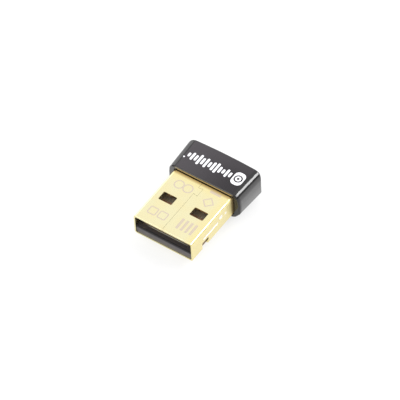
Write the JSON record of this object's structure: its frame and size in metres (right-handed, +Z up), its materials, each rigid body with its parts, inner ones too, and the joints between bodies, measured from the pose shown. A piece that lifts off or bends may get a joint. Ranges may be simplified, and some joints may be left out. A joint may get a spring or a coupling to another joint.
{
  "type": "usb bluetooth adapter",
  "caption": "Nano radio adapter: folded gold-plated USB plug with its board in a plastic tray, closed by a short glossy black hull-shaped cap.",
  "frame": {"origin": "under the middle of the whole adapter, level with the underside of the cap", "axes": "+X across the plug, the plug's mouth towards -Y, the cap's rear towards +Y, +Z up"},
  "size_m": [0.0152, 0.0192, 0.0068],
  "materials": {
    "cap_plastic": "glossy black moulding, satin on top",
    "gilt_shell": "bright pale gold plating on folded sheet",
    "tray_plastic": "matt black moulding",
    "board_laminate": "dark solder resist on glass and epoxy",
    "gilt_contact": "bright gold plating on copper",
    "chip_resin": "matt black moulding resin",
    "crystal_can": "satin nickel lid",
    "chip_ceramic": "fired ceramic with tinned ends",
    "filter_ceramic": "pale fired ceramic",
    "aerial_copper": "copper line under dark solder resist"
  },
  "bodies": {
    "root": {"cap": "cap_plastic", "plug_shell": "gilt_shell", "board_tray": "tray_plastic", "circuit_board": "board_laminate", "ground_contact": "gilt_contact", "data_plus_contact": "gilt_contact", "data_minus_contact": "gilt_contact", "power_contact": "gilt_contact", "radio_chip": "chip_resin", "memory_chip": "chip_resin", "timing_crystal": "crystal_can", "crystal_capacitor_left": "chip_ceramic", "crystal_capacitor_right": "chip_ceramic", "supply_capacitor": "chip_ceramic", "regulator_capacitor": "chip_ceramic", "core_capacitor": "chip_ceramic", "data_plus_resistor": "chip_ceramic", "data_minus_resistor": "chip_ceramic", "antenna_filter": "filter_ceramic", "antenna_inductor": "chip_ceramic", "antenna_capacitor": "chip_ceramic", "antenna_trace": "aerial_copper"}
  },
  "joints": []
}
